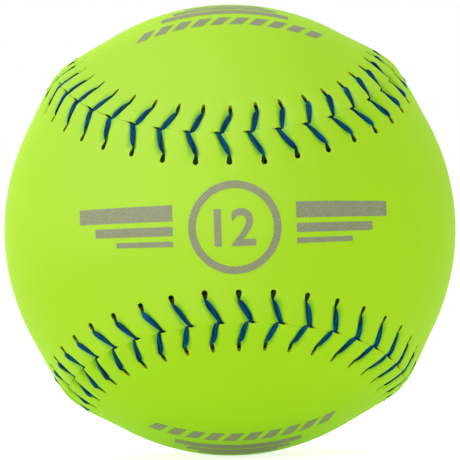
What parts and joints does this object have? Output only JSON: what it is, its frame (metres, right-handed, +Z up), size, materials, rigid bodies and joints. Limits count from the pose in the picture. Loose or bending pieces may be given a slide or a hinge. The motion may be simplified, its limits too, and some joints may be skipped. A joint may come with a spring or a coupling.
{
  "type": "softball",
  "caption": "Optic yellow softball with two peanut-shaped cover panels laced together with blue thread along a raised seam.",
  "frame": {"origin": "centre of the ball", "axes": "+Z up as pictured, the narrow waist of the front panel facing -Y, the lobes of the front panel on -X and +X and the lobes of the rear panel on -Z and +Z"},
  "size_m": [0.0966, 0.0966, 0.0966],
  "materials": {
    "core_foam": "closed skin of moulded polyurethane foam",
    "cement": "dried latex cement",
    "cover_backing": "matted fibre backing",
    "cover_skin": "smooth satin synthetic leather, optic yellow",
    "waxed_thread": "flattened strands of waxed thread, dark blue"
  },
  "bodies": {
    "root": {"core": "core_foam", "cement_coat": "cement", "front_backing": "cover_backing", "rear_backing": "cover_backing", "front_skin": "cover_skin", "rear_skin": "cover_skin", "lacing_thread_1": "waxed_thread", "lacing_thread_2": "waxed_thread"}
  },
  "joints": []
}
